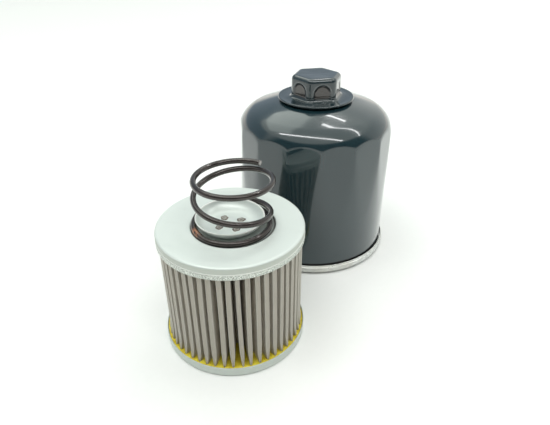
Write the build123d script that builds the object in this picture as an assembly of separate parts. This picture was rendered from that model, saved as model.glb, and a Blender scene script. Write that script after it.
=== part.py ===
"""Spin-on oil filter with its washable element: can unit on the right, element and spring on the left.

Millimetres, +Z up. The row stands on z = 0. Both units stand on the X axis, so the origin is
the middle of the whole row's footprint.
"""

from build123d import *
import math
import os

# ---- Placing of the two units -----------------------------------------------------------------
can_radius = 47.0
ring_radius = 49.0
element_radius = 35.85
lower_cap_radius = 36.5
axis_spacing = 101.3
row_length = lower_cap_radius + axis_spacing + ring_radius
element_x = -row_length / 2 + lower_cap_radius
can_x = element_x + axis_spacing

# ---- Can: drawn shell with flats round its shoulder --------------------------------------------
can_sheet = 0.7
can_foot = 2.5
shoulder_start = 77.3
shoulder_radius = 15.1
shoulder_turn = 70.0
crown_height = 96.7
flute_count = 15
flute_phase = 4.0
flute_depth_radius = 45.7
flute_high = 80.0
flute_fade = 42.0

# ---- Hexagon cap welded on the crown -----------------------------------------------------------
hex_across_flats = 27.0
hex_corner = 3.8
hex_edge = 2.4
hex_phase = 8.3
hex_top = 111.1
hex_wall = 1.6
flange_radius = 22.7
flange_bottom = 97.0
flange_top = 98.2
flange_weld_radius = 17.5
panel_depth = 0.4
panel_width = 10.0
panel_height = 9.4

# ---- Base of the can ---------------------------------------------------------------------------
ring_bottom = 1.3
ring_top = 5.9
lid_sheet = 0.8
plate_bottom = 6.0
plate_thickness = 3.0
plate_radius = 46.0
thread_radius = 8.72
hub_radius = 11.3
hub_height = 10.0
inlet_count = 8
inlet_radius = 3.2
inlet_circle = 20.8
gasket_inner = 30.8
gasket_outer = 36.0
base_weld_circle = 41.0

# ---- Filter element ----------------------------------------------------------------------------
element_height = 65.1
cap_sheet = 0.5
upper_skirt = 6.3
lower_skirt = 5.5
recess_radius = 20.4
recess_depth = 1.0
pleat_count = 50
pleat_tip_radius = 34.7
pleat_root_radius = 19.4
pleat_width = 1.95
pleat_gap = 0.3
mesh_thickness = 0.45
adhesive_depth = 2.0
bed_depth = 4.2
tube_outer = 19.0
tube_wall = 0.6
tube_hole_radius = 2.0
tube_hole_rows = 9
tube_hole_columns = 12
collar_radius = 13.7
grommet_bore = 11.0

# ---- Cup and coil spring on the upper cap ------------------------------------------------------
cup_sheet = 0.6
cup_floor_radius = 9.8
cup_curve = 7.2
cup_rim_angle = 20.0
cup_weld_circle = 5.95
cup_weld_phase = 60.0
wire = 2.8
spring_mean_radius = 18.2
spring_end = -14.1
spring_turns = 3.05
spring_rise_start = 0.5
spring_rise_full = 1.35
spring_rise_fade = 1.8
spring_rise_end = 2.2
spring_pitch_active = 19.5
spring_pitch_top = 3.0
spring_shift = 1.0
spring_shift_bearing = -95.0
spring_lean = 0.086
spring_lean_bearing = -23.4
spring_tilt = 0.036
spring_tilt_bearing = -120.0

# ---- Bypass valve inside the lower cap ---------------------------------------------------------
port_count = 8
port_radius = 1.2
port_circle = 15.9
disc_inner = 14.2
disc_outer = 17.2
disc_thickness = 1.0
cage_radius = 18.2
cage_height = 11.5
cage_sheet = 0.6
cage_opening = 13.6
valve_wire = 1.1
valve_spring_radius = 15.7
valve_spring_pitch = 2.8

SEAT_GAP = 0.05


def at_can(shape):
    return Pos(can_x, 0, 0) * shape


def at_element(shape):
    return Pos(element_x, 0, 0) * shape


def turned(face):
    """Solid of revolution about Z of a face drawn as (radius, height)."""
    return revolve(Plane.XZ * face, Axis.Z)


def ribbon(points, thickness, bend):
    """Sheet-metal section: a polyline with rounded bends, thickened to its left."""
    path = FilletPolyline(*points, radius=bend)
    return make_face(path.wire().offset_2d(thickness, side=Side.LEFT).edges())


def ring(inner, outer, bottom, top):
    """Plain ring about Z."""
    return Pos(0, 0, bottom) * extrude(Circle(outer) - Circle(inner), top - bottom)


def disc(radius, bottom, top):
    return Pos(0, 0, bottom) * extrude(Circle(radius), top - bottom)


def around(shape, count, circle, phase=0.0):
    """Copies of a shape on a circle about Z."""
    return [loc * shape for loc in PolarLocations(circle, count, start_angle=phase)]


# ---- Can unit ----------------------------------------------------------------------------------


def can_outline(inset):
    """Half section of the can, drawn inwards by inset: wall, shoulder, domed end and flat crown."""
    turn = math.radians(shoulder_turn)
    centre_r = can_radius - shoulder_radius
    bend = shoulder_radius - inset
    dome_centre = shoulder_start - centre_r * math.tan(turn)
    dome = centre_r / math.cos(turn) + bend
    crown = crown_height - inset
    crown_r = math.sqrt(dome**2 - (crown - dome_centre) ** 2)
    wall = can_radius - inset

    def on_shoulder(angle):
        return (centre_r + bend * math.cos(angle), shoulder_start + bend * math.sin(angle))

    dome_end = on_shoulder(turn)
    middle_r = (dome_end[0] + crown_r) / 2
    dome_middle = (middle_r, dome_centre + math.sqrt(dome**2 - middle_r**2))
    line = (
        Polyline((0, crown), (0, can_foot), (wall, can_foot), (wall, shoulder_start))
        + ThreePointArc((wall, shoulder_start), on_shoulder(turn / 2), dome_end)
        + ThreePointArc(dome_end, dome_middle, (crown_r, crown))
        + Line((crown_r, crown), (0, crown))
    )
    return make_face(line)


def fluted(blank, inset):
    """The blank with its flats cut: deepest under the shoulder, fading out down the wall."""
    drop = flute_high - flute_fade
    slope = math.degrees(math.atan2(can_radius - flute_depth_radius, drop))
    block = Pos(10, 0, 0) * Box(20, 60, 2 * drop)
    cutter = Pos(flute_depth_radius - inset, 0, flute_high) * Rot(0, -slope, 0) * block
    cuts = [Rot(0, 0, flute_phase + k * 360 / flute_count) * cutter for k in range(flute_count)]
    return blank - cuts


def make_can_shell():
    outside = fluted(turned(can_outline(0)), 0)
    inside = fluted(turned(can_outline(can_sheet)), can_sheet)
    mouth = disc(can_radius - can_sheet, can_foot - 1, can_foot + 1)
    return at_can(outside - inside - mouth)


def hexagon(across_flats, corner):
    return fillet(RegularPolygon(across_flats / 2, 6, major_radius=False).vertices(), corner)


def make_hex_cap():
    """Drawn hexagon on a round flange, hollow from below, with a shallow panel in each flat."""
    height = hex_top - flange_bottom
    block = extrude(hexagon(hex_across_flats, hex_corner), height)
    block = fillet(block.faces().sort_by(Axis.Z)[-1].edges(), hex_edge)
    flange = extrude(Circle(flange_radius), flange_top - flange_bottom)
    flange = fillet(flange.edges(), 0.4)
    body = block + flange
    foot = [e for e in body.edges() if abs(e.center().Z - (flange_top - flange_bottom)) < 0.01]
    foot = [e for e in foot if e.bounding_box().size.X < hex_across_flats]
    inner_side = [e for e in foot if math.hypot(e.center().X, e.center().Y) < hex_across_flats * 0.6]
    body = fillet(inner_side, 0.9)
    hollow = extrude(hexagon(hex_across_flats - 2 * hex_wall, hex_corner - hex_wall), height - hex_wall)
    body -= hollow
    panel = Pos(0, panel_height - panel_width / 2) * Circle(panel_width / 2)
    panel += Pos(0, (panel_height - panel_width / 2) / 2) * Rectangle(
        panel_width, panel_height - panel_width / 2
    )
    seat = Plane(
        origin=(hex_across_flats / 2 - panel_depth, 0, flange_top - flange_bottom + 1.2),
        x_dir=(0, 1, 0),
        z_dir=(1, 0, 0),
    )
    pocket = extrude(seat * panel, 3)
    for side in range(6):
        body -= Rot(0, 0, 30 + side * 60) * pocket
    return at_can(Pos(0, 0, flange_bottom) * Rot(0, 0, hex_phase) * body)


def make_flange_welds():
    """Projection welds between the flange and the crown."""
    nugget = disc(1.6, crown_height, flange_bottom)
    return [at_can(w) for w in around(nugget, 6, flange_weld_radius, 20)]


def make_base_plate():
    """Thick plate with the drawn-in hub that takes the engine's stud, and the ring of inlets."""
    top = plate_bottom + plate_thickness
    plate = disc(plate_radius, plate_bottom, top) + disc(hub_radius, plate_bottom, plate_bottom + hub_height)
    plate = fillet(plate.edges().filter_by(GeomType.CIRCLE).sort_by(Axis.Z)[-1], 0.8)
    plate -= disc(thread_radius, plate_bottom - 1, plate_bottom + hub_height + 1)
    inlet = disc(inlet_radius, plate_bottom - 1, top + 1)
    for hole in around(inlet, inlet_count, inlet_circle):
        plate -= hole
    return at_can(plate)


def make_seam_ring():
    """Seaming lid: rolled seam round the can's foot, web under the plate, and the gasket's groove."""
    seam_wall = can_radius + SEAT_GAP
    roll = 0.62
    band_top = ring_top - 2 * roll + 0.2
    band = RectangleRounded(ring_radius - seam_wall, band_top - ring_bottom, 0.5)
    section = Pos((ring_radius + seam_wall) / 2, (band_top + ring_bottom) / 2) * band
    section += Pos(seam_wall + roll, ring_top - roll) * Circle(roll)
    inner_wall = can_radius - can_sheet - SEAT_GAP
    section += make_face(
        Polyline(
            (gasket_inner - 0.9, plate_bottom - lid_sheet),
            (inner_wall - lid_sheet, plate_bottom - lid_sheet),
            (inner_wall - lid_sheet, ring_bottom),
            (ring_radius - 0.7, ring_bottom),
            (ring_radius - 0.7, ring_bottom + lid_sheet),
            (inner_wall, ring_bottom + lid_sheet),
            (inner_wall, plate_bottom),
            (gasket_inner - 0.9, plate_bottom),
            close=True,
        )
    )
    lip_top = plate_bottom - lid_sheet
    section += Pos(gasket_outer + 0.1 + 0.35, (lip_top + 2.4) / 2) * Rectangle(0.7, lip_top - 2.4)
    section += Pos(gasket_inner - 0.1 - 0.35, (lip_top + 2.8) / 2) * Rectangle(0.7, lip_top - 2.8)
    return at_can(turned(section))


def make_base_welds():
    """Spot welds that hold the lid's web to the base plate."""
    web_under = plate_bottom - lid_sheet
    nugget = disc(2.2, web_under - 0.15, web_under)
    return [at_can(w) for w in around(nugget, 8, base_weld_circle, 22.5)]


def make_gasket():
    """Square-cut sealing ring, proud of the seam so that it meets the engine first."""
    height = plate_bottom - lid_sheet
    middle = (gasket_inner + gasket_outer) / 2
    section = RectangleRounded(gasket_outer - gasket_inner, height, 0.5)
    return at_can(turned(Pos(middle, height / 2) * section))


def make_drainback_valve():
    """Rubber diaphragm: sleeve on the hub, and a skirt whose lip rests over the inlets."""
    rest = plate_bottom + plate_thickness
    sleeve = hub_radius + 0.08
    section = make_face(
        Polyline(
            (sleeve, rest + 0.6),
            (sleeve, rest + 5.0),
            (sleeve + 1.6, rest + 5.0),
            (sleeve + 2.6, rest + 3.4),
            (26.2, rest + 1.6),
            (28.0, rest + 1.0),
            (28.0, rest + SEAT_GAP),
            (25.4, rest + SEAT_GAP),
            (25.0, rest + 0.7),
            (sleeve + 2.0, rest + 2.2),
            (sleeve + 1.2, rest + 0.6),
            close=True,
        )
    )
    return at_can(turned(section))


# ---- Element unit ------------------------------------------------------------------------------


def make_upper_cap():
    """Pressed cap: shallow round recess in the middle, rounded edge, skirt with a rolled bead."""
    top = element_height
    skirt_end = top - upper_skirt
    points = [
        (element_radius, skirt_end),
        (element_radius, top),
        (recess_radius + 0.9, top),
        (recess_radius, top - recess_depth),
        (0, top - recess_depth),
    ]
    section = ribbon(points, cap_sheet, [1.3, 0.5, 0.4])
    return at_element(turned(section))


def make_lower_cap():
    """Pressed cap with the outlet's collar and the ring of bypass ports."""
    points = [
        (collar_radius - cap_sheet, 3.6),
        (collar_radius - cap_sheet, 0),
        (lower_cap_radius, 0),
        (lower_cap_radius, lower_skirt),
    ]
    cap = turned(ribbon(points, cap_sheet, [0.5, 1.1]))
    port = disc(port_radius, -1, cap_sheet + 1)
    for hole in around(port, port_count, port_circle):
        cap -= hole
    return at_element(cap)


def make_cup():
    """Shallow saucer that locates the spring; its rim leans out over the bottom coil."""
    floor = element_height - recess_depth
    start = math.radians(-90)
    stop = math.radians(-cup_rim_angle)

    def on_curve(radius, angle):
        return (
            cup_floor_radius + radius * math.cos(angle),
            floor + cup_curve + radius * math.sin(angle),
        )

    inner_curve = cup_curve - cup_sheet
    middle = (start + stop) / 2
    outline = (
        Polyline((0, floor + cup_sheet), (0, floor), on_curve(cup_curve, start))
        + ThreePointArc(*(on_curve(cup_curve, a) for a in (start, middle, stop)))
        + Line(on_curve(cup_curve, stop), on_curve(inner_curve, stop))
        + ThreePointArc(*(on_curve(inner_curve, a) for a in (stop, middle, start)))
        + Line(on_curve(inner_curve, start), (0, floor + cup_sheet))
    )
    return at_element(turned(make_face(outline)))


def make_cup_welds():
    """Four spot-weld marks that hold the cup to the cap."""
    face = element_height - recess_depth + cup_sheet
    nugget = disc(2.1, face, face + 0.2)
    return [at_element(w) for w in around(nugget, 4, cup_weld_circle, cup_weld_phase)]


def make_pleats():
    """Pleated wire cloth: one endless zigzag band, each fold a flat-topped, near-parallel pleat."""
    step = 2 * math.pi / pleat_count
    half = pleat_width / 2
    root_outer = pleat_root_radius + mesh_thickness
    outside = []
    inside = []
    for k in range(pleat_count):
        middle = k * step
        valley = middle + step / 2

        def point(radius, across, angle):
            return (
                radius * math.cos(angle) - across * math.sin(angle),
                radius * math.sin(angle) + across * math.cos(angle),
            )

        outside.append(point(pleat_tip_radius, -half, middle))
        outside.append(point(pleat_tip_radius, half, middle))
        outside.append(point(root_outer, -pleat_gap / 2, valley))
        outside.append(point(root_outer, pleat_gap / 2, valley))
        inner_half = half - mesh_thickness
        inner_gap = pleat_gap / 2 + mesh_thickness
        inside.append(point(pleat_tip_radius - mesh_thickness, -inner_half, middle))
        inside.append(point(pleat_tip_radius - mesh_thickness, inner_half, middle))
        inside.append(point(pleat_root_radius, -inner_gap, valley))
        inside.append(point(pleat_root_radius, inner_gap, valley))
    band = make_face(Polyline(*outside, close=True)) - make_face(Polyline(*inside, close=True))
    bottom = cap_sheet + bed_depth
    height = element_height - cap_sheet - adhesive_depth - bottom
    return at_element(Pos(0, 0, bottom) * extrude(band, height))


def make_centre_tube():
    """Perforated support tube between the two caps."""
    bottom = cap_sheet
    top = element_height - cap_sheet - recess_depth
    tube = ring(tube_outer - tube_wall, tube_outer, bottom, top)
    spacing = (top - bottom) / (tube_hole_rows + 1)
    punch = Rot(0, 90, 0) * extrude(Circle(tube_hole_radius), tube_outer + 1)
    punches = []
    for row in range(tube_hole_rows):
        phase = row % 2 * 180 / tube_hole_columns
        for column in range(tube_hole_columns):
            turn = Rot(0, 0, phase + column * 360 / tube_hole_columns)
            punches.append(Pos(0, 0, bottom + (row + 1) * spacing) * turn * punch)
    return at_element(tube - punches)


def make_upper_adhesive():
    """Sealant inside the upper cap, kept clear of the recess and the bend."""
    top = element_height - cap_sheet
    outer = element_radius - cap_sheet - SEAT_GAP
    body = ring(recess_radius + 1.6, outer, top - adhesive_depth, top)
    body += ring(tube_outer + SEAT_GAP, outer, top - adhesive_depth, top - recess_depth - 0.1)
    corner = body.edges().filter_by(GeomType.CIRCLE).sort_by(Axis.Z)[-2:].sort_by(SortBy.RADIUS)[-1]
    return at_element(fillet(corner, 1.0))


def make_lower_adhesive():
    """Bed of yellow sealant in the lower cap, under the pleat ends."""
    outer = lower_cap_radius - cap_sheet - SEAT_GAP
    bed = ring(tube_outer + SEAT_GAP, outer, cap_sheet, cap_sheet + bed_depth)
    corner = bed.edges().filter_by(GeomType.CIRCLE).sort_by(Axis.Z)[:2].sort_by(SortBy.RADIUS)[-1]
    return at_element(fillet(corner, 0.8))


def make_grommet():
    """Rubber ring in the outlet's collar that seals on the can's hub."""
    outer = collar_radius - cap_sheet - SEAT_GAP
    section = Pos((grommet_bore + outer) / 2, 2.0) * Rectangle(outer - grommet_bore, 4.0)
    lip_outer = collar_radius + 0.15
    section += Pos((grommet_bore + lip_outer) / 2, 4.1) * Rectangle(lip_outer - grommet_bore, 0.8)
    return at_element(turned(section))


def make_valve_disc():
    seat = cap_sheet + SEAT_GAP
    return at_element(ring(disc_inner, disc_outer, seat, seat + disc_thickness))


def make_valve_cage():
    """Stamped cage over the bypass valve; its open top lets the clean oil through."""
    top = cap_sheet + cage_height
    points = [(cage_radius, cap_sheet), (cage_radius, top), (cage_opening, top)]
    return at_element(turned(ribbon(points, cage_sheet, [1.0])))


def make_valve_spring():
    bottom = cap_sheet + SEAT_GAP + disc_thickness + 0.02
    top = cap_sheet + cage_height - cage_sheet - 0.02
    rise = top - bottom - valve_wire
    path = Helix(pitch=valve_spring_pitch, height=rise, radius=valve_spring_radius)
    section = Plane(origin=path @ 0, z_dir=path % 0) * Circle(valve_wire / 2)
    coil = sweep(section, path=path)
    return at_element(Pos(0, 0, bottom + valve_wire / 2) * coil)


def spring_pitch(turn):
    """Rise per turn: none on the flat bottom coil, steep in the middle, nearly closed at the top."""
    rising = (turn - spring_rise_start) / (spring_rise_full - spring_rise_start)
    closing = (turn - spring_rise_fade) / (spring_rise_end - spring_rise_fade)
    rising = min(max(rising, 0), 1)
    closing = min(max(closing, 0), 1)
    return spring_pitch_active * rising * (1 - closing) + spring_pitch_top * closing


def spring_points():
    """Centre line of the coil spring, followed up from its flat bottom turn to its cut top end."""
    steps = round(spring_turns * 12)
    shift = math.radians(spring_shift_bearing)
    lean = math.radians(spring_lean_bearing)
    tilt = math.radians(spring_tilt_bearing)
    seat = element_height - recess_depth + wire / 2 + 0.02
    points = []
    rise = 0
    for k in range(steps + 1):
        turn = spring_turns * k / steps
        angle = math.radians(spring_end + 360 * (spring_turns - turn))
        x = spring_mean_radius * math.cos(angle) + spring_shift * math.cos(shift)
        y = spring_mean_radius * math.sin(angle) + spring_shift * math.sin(shift)
        points.append(
            (
                x + spring_lean * rise * math.cos(lean),
                y + spring_lean * rise * math.sin(lean),
                seat + rise + spring_tilt * rise * math.cos(angle - tilt),
            )
        )
        for part in range(4):
            rise += spring_pitch(turn + (part + 0.5) * spring_turns / steps / 4) * spring_turns / steps / 4
    return points


def make_coil_spring():
    path = Spline(*spring_points())
    section = Plane(origin=path @ 0, z_dir=path % 0) * Circle(wire / 2)
    return at_element(sweep(section, path=path))


NODES = {
    "can_shell": make_can_shell,
    "hex_cap": make_hex_cap,
    "flange_welds": make_flange_welds,
    "base_plate": make_base_plate,
    "seam_ring": make_seam_ring,
    "base_spot_welds": make_base_welds,
    "gasket": make_gasket,
    "drainback_valve": make_drainback_valve,
    "upper_end_cap": make_upper_cap,
    "lower_end_cap": make_lower_cap,
    "spring_cup": make_cup,
    "cup_spot_welds": make_cup_welds,
    "pleated_mesh": make_pleats,
    "centre_tube": make_centre_tube,
    "upper_adhesive": make_upper_adhesive,
    "lower_adhesive": make_lower_adhesive,
    "outlet_grommet": make_grommet,
    "bypass_disc": make_valve_disc,
    "bypass_cage": make_valve_cage,
    "bypass_spring": make_valve_spring,
    "coil_spring": make_coil_spring,
}

os.makedirs("parts", exist_ok=True)
for name, make in NODES.items():
    made = make()
    shape = Compound(children=made) if isinstance(made, list) else made
    export_step(shape, f"parts/{name}.step")
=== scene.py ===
"""Looks of the opened oil filter: shown pieces, materials, floor, lights and camera.

Lengths in the piece functions are millimetres about the unit's own upright axis, and every mesh is
written in metres in the row's frame.
"""

from math import acos, atan, atan2, ceil, cos, hypot, pi, radians, sin, sqrt, tan

import bmesh
import bpy
import numpy as np
from mathutils import Matrix, Vector


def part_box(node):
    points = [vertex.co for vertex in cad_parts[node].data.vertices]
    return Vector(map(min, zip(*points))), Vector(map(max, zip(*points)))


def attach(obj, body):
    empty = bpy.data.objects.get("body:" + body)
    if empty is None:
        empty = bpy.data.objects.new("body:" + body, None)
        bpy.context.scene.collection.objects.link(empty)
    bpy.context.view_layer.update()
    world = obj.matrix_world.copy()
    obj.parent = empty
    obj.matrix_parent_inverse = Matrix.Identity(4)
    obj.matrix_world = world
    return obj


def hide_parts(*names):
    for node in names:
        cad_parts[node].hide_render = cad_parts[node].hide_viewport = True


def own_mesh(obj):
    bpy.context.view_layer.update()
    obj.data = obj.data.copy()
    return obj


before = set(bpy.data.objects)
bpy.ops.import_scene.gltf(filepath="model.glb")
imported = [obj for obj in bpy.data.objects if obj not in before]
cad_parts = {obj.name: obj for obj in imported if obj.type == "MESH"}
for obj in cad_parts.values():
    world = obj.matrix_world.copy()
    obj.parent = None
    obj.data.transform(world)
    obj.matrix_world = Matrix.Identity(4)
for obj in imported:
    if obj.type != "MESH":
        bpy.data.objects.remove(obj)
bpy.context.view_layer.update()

MM = 0.001
TURN = 2 * pi
SMOOTH_ANGLE = 38
rng = np.random.default_rng(7)


def measured(node):
    """Axis, radius, bottom and top of a round CAD node, in millimetres."""
    low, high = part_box(node)
    return {
        "x": (low.x + high.x) / 2 / MM,
        "radius": (high.x - low.x) / 2 / MM,
        "bottom": low.z / MM,
        "top": high.z / MM,
    }


SHELL = measured("can_shell")
HEX = measured("hex_cap")
RING = measured("seam_ring")
PLATE = measured("base_plate")
GASKET = measured("gasket")
UPPER = measured("upper_end_cap")
LOWER = measured("lower_end_cap")
CUP = measured("spring_cup")
PLEATS = measured("pleated_mesh")
BED = measured("lower_adhesive")
TUBE = measured("centre_tube")
COIL = measured("coil_spring")
CAN_X = SHELL["x"]
ELEMENT_X = UPPER["x"]


# ---- Mesh helpers


def unit(vectors):
    """One vector, or each row of several, made one long."""
    return vectors / np.linalg.norm(vectors, axis=-1, keepdims=True)


def toward(angle):
    """The unit step in the direction of an angle."""
    return np.array([cos(angle), sin(angle)])


def placed(name, data):
    """A new object in the scene."""
    thing = bpy.data.objects.new(name, data)
    bpy.context.scene.collection.objects.link(thing)
    return thing


def rounded(corners, closed=False, steps=7, spacing=None):
    """Outline through (radius, height, bend) corners, each corner rounded to its bend radius."""
    points = []
    count = len(corners)
    for i, (r, z, bend) in enumerate(corners):
        here = np.array([r, z], float)
        if bend <= 0 or (not closed and i in (0, count - 1)):
            points.append(here)
            continue
        before = unit(corners[i - 1][:2] - here)
        after = unit(corners[(i + 1) % count][:2] - here)
        half = acos(np.clip(before @ after, -1, 1)) / 2
        centre = here + unit(before + after) * bend / sin(half)
        start = here + before * bend / tan(half) - centre
        end = here + after * bend / tan(half) - centre
        sweep = pi - 2 * half
        for k in range(steps + 1):
            t = k / steps
            mix = (sin((1 - t) * sweep) * start + sin(t * sweep) * end) / sin(sweep)
            points.append(centre + mix)
    if spacing:
        points = spread(points, spacing, closed)
    return np.array(points)


def spread(points, spacing, closed):
    """Adds points so that no stretch of the outline is longer than the spacing."""
    filled = []
    pairs = zip(points, points[1:] + points[:1] if closed else points[1:])
    for a, b in pairs:
        pieces = max(1, ceil(np.linalg.norm(b - a) / spacing))
        filled += [a + (b - a) * k / pieces for k in range(pieces)]
    if not closed:
        filled.append(points[-1])
    return filled


def lengths(points, closed):
    """Running length along an outline, with the closing stretch when it is closed."""
    ends = np.vstack([points, points[:1]]) if closed else points
    return np.concatenate([[0], np.cumsum(np.linalg.norm(np.diff(ends, axis=0), axis=1))])


def skin(name, grid, along, across, wrap_rows, wrap_columns, attributes=None):
    """Mesh over a grid of points in millimetres, with a UV map that holds millimetres of surface."""
    rows, columns = grid.shape[:2]
    row = np.arange(rows if wrap_rows else rows - 1)
    column = np.arange(columns if wrap_columns else columns - 1)
    i, j = np.meshgrid(row, column, indexing="ij")
    next_i, next_j = (i + 1) % rows, (j + 1) % columns
    corners = [(i, j), (i, next_j), (next_i, next_j), (next_i, j)]
    faces = np.stack([(a * columns + b).ravel() for a, b in corners], 1)
    mesh = bpy.data.meshes.new(name)
    mesh.from_pydata((grid.reshape(-1, 3) * MM).tolist(), [], faces.tolist())
    u = [along[j], along[j + 1], along[j + 1], along[j]]
    v = [across[i], across[i], across[i + 1], across[i + 1]]
    uv = np.stack([np.stack([a.ravel(), b.ravel()], 1) for a, b in zip(u, v)], 1)
    mesh.uv_layers.new(name="surface").data.foreach_set("uv", uv.astype(np.float32).ravel())
    for key, values in (attributes or {}).items():
        layer = mesh.attributes.new(key, "FLOAT", "POINT")
        layer.data.foreach_set("value", values.astype(np.float32).ravel())
    return placed(name, mesh)


def clean(thing, sharp=SMOOTH_ANGLE):
    """Welds doubled points, drops collapsed faces, turns normals outwards and smooths the shading."""
    work = bmesh.new()
    work.from_mesh(thing.data)
    bmesh.ops.remove_doubles(work, verts=work.verts, dist=1e-6)
    bmesh.ops.dissolve_degenerate(work, edges=work.edges, dist=1e-7)
    bmesh.ops.recalc_face_normals(work, faces=work.faces)
    work.to_mesh(thing.data)
    work.free()
    thing.data.shade_smooth()
    thing.data.set_sharp_from_angle(angle=radians(sharp))
    return thing


def lathe(name, axis_x, outline, closed, columns=240, shape=None):
    """Turns an outline about an upright axis. shape(radius, height, angle) may move the points."""
    radius, height = (np.repeat(outline[:, [k]], columns, 1) for k in (0, 1))
    angle = np.tile(np.arange(columns) * TURN / columns, (len(outline), 1))
    marks = None
    if shape:
        radius, height, marks = shape(radius, height, angle)
    grid = np.stack([axis_x + radius * np.cos(angle), radius * np.sin(angle), height], 2)
    along = np.arange(columns + 1) / columns * TURN * outline[:, 0].max()
    return clean(skin(name, grid, along, lengths(outline, closed), closed, True, marks))


def ripple(rows, columns, blur_rows, blur_columns):
    """Smooth seeded noise on a grid that joins up round its columns, about -1 to 1."""
    noise = rng.standard_normal((rows, columns))
    for axis, width in ((0, blur_rows), (1, blur_columns)):
        reach = np.arange(-3 * width, 3 * width + 1)
        kernel = np.exp(-0.5 * (reach / max(width, 0.5)) ** 2)
        total = np.zeros_like(noise)
        for step, weight in zip(reach, kernel):
            if axis == 1:
                total += weight * np.roll(noise, step, 1)
            else:
                index = np.clip(np.arange(rows) + step, 0, rows - 1)
                total += weight * noise[index]
        noise = total
    return noise / (np.abs(noise).max() + 1e-9)


def soft_step(value, low, high):
    """Smooth rise from 0 at low to 1 at high."""
    t = np.clip((value - low) / (high - low), 0, 1)
    return t * t * (3 - 2 * t)


def soft_min(a, b, width):
    """The smaller of two values, rounded off where they are within width of each other."""
    near = np.clip(width - np.abs(a - b), 0, None) / width
    return np.minimum(a, b) - near * near * width / 4


def carved(thing, cutters):
    """Cuts the cutters out of a piece for good."""
    for cutter in cutters:
        cut = thing.modifiers.new("cut", "BOOLEAN")
        cut.operation = "DIFFERENCE"
        cut.solver = "EXACT"
        cut.object = cutter
    bpy.context.view_layer.update()
    graph = bpy.context.evaluated_depsgraph_get()
    mesh = bpy.data.meshes.new_from_object(thing.evaluated_get(graph))
    thing.modifiers.clear()
    thing.data = mesh
    for cutter in cutters:
        bpy.data.objects.remove(cutter)
    mesh.set_sharp_from_angle(angle=radians(SMOOTH_ANGLE))
    return thing


def onto_circle(thing, axis_x, circle, angle, height=0):
    """Moves a piece turned about the origin to its place on a circle about an upright axis."""
    spot = (axis_x + circle * cos(angle), circle * sin(angle), height)
    thing.data.transform(Matrix.Translation([MM * length for length in spot]))
    return thing


def rod(axis_x, circle, angle, radius, bottom, top, columns=40):
    """An upright cylinder, on a circle about the axis, that only serves as a cutter."""
    outline = np.array([(0, bottom), (radius, bottom), (radius, top), (0, top)], float)
    return onto_circle(lathe("cutter", 0, outline, False, columns), axis_x, circle, angle)


# ---- Material helpers


def scaled(colour, factor):
    """A colour made lighter or darker, kept within 1."""
    return tuple(min(1, c * factor) for c in colour)


class Nodes:
    """Short ways to build a node tree."""

    def __init__(self, tree):
        self.tree = tree

    def node(self, kind, settings=None, **inputs):
        made = self.tree.nodes.new(kind)
        for key, value in (settings or {}).items():
            setattr(made, key, value)
        for key, value in inputs.items():
            self.feed(made.inputs[key.replace("_", " ")], value)
        return made

    def feed(self, socket, value):
        if isinstance(value, bpy.types.NodeSocket):
            self.tree.links.new(value, socket)
        else:
            socket.default_value = value

    def spread(self, value, low, high, to_low=0.0, to_high=1.0):
        """Smooth ramp from to_low at low to to_high at high."""
        return self.node(
            "ShaderNodeMapRange",
            {"interpolation_type": "SMOOTHSTEP"},
            Value=value,
            **{"From Min": low, "From Max": high, "To Min": to_low, "To Max": to_high},
        ).outputs["Result"]

    def maths(self, operation, a, b=0.0):
        made = self.node("ShaderNodeMath", {"operation": operation})
        self.feed(made.inputs[0], a)
        self.feed(made.inputs[1], b)
        return made.outputs[0]

    def times(self, a, b):
        return self.maths("MULTIPLY", a, b)

    def mix(self, factor, a, b):
        made = self.node("ShaderNodeMix", {"data_type": "RGBA"})
        self.feed(made.inputs["Factor"], factor)
        self.feed(made.inputs[6], a if isinstance(a, bpy.types.NodeSocket) else (*a, 1))
        self.feed(made.inputs[7], b if isinstance(b, bpy.types.NodeSocket) else (*b, 1))
        return made.outputs[2]


class Finish(Nodes):
    """A Principled material built up from noise, wear marks, painted light and shade, and bumps."""

    def __init__(self, name, **sockets):
        self.material = bpy.data.materials.new(name)
        self.material.use_nodes = True
        super().__init__(self.material.node_tree)
        self.shader = self.tree.nodes["Principled BSDF"]
        for key, value in sockets.items():
            socket = key.replace("_", " ").title().replace("Ior", "IOR")
            self.shader.inputs[socket].default_value = value
        self.normal = None

    def place(self, scale=(1, 1, 1), surface=False):
        """Row coordinates in metres, or the surface map in millimetres, stretched by scale."""
        source = self.node("ShaderNodeTexCoord").outputs["Object"]
        if surface:
            source = self.node("ShaderNodeUVMap", {"uv_map": "surface"}).outputs["UV"]
        return self.node("ShaderNodeMapping", Vector=source, Scale=scale).outputs["Vector"]

    def noise(self, scale, detail=3.0, roughness=0.55, stretch=(1, 1, 1), surface=False):
        vector = self.place(stretch, surface)
        return self.node(
            "ShaderNodeTexNoise", Vector=vector, Scale=scale, Detail=detail, Roughness=roughness
        ).outputs["Fac"]

    def cells(self, scale, out="Distance"):
        return self.node("ShaderNodeTexVoronoi", Vector=self.place(), Scale=scale).outputs[out]

    def mark(self, name):
        """A value from 0 to 1 that the mesh carries at its points."""
        return self.node("ShaderNodeAttribute", {"attribute_name": name}).outputs["Fac"]

    def bump(self, height, strength, distance_mm):
        made = self.node("ShaderNodeBump", Height=height, Strength=strength, Distance=distance_mm * MM)
        if self.normal:
            self.feed(made.inputs["Normal"], self.normal)
        self.normal = made.outputs["Normal"]
        self.feed(self.shader.inputs["Normal"], self.normal)

    def colour(self, value):
        self.feed(self.shader.inputs["Base Color"], value)

    def rough(self, value):
        self.feed(self.shader.inputs["Roughness"], value)


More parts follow.
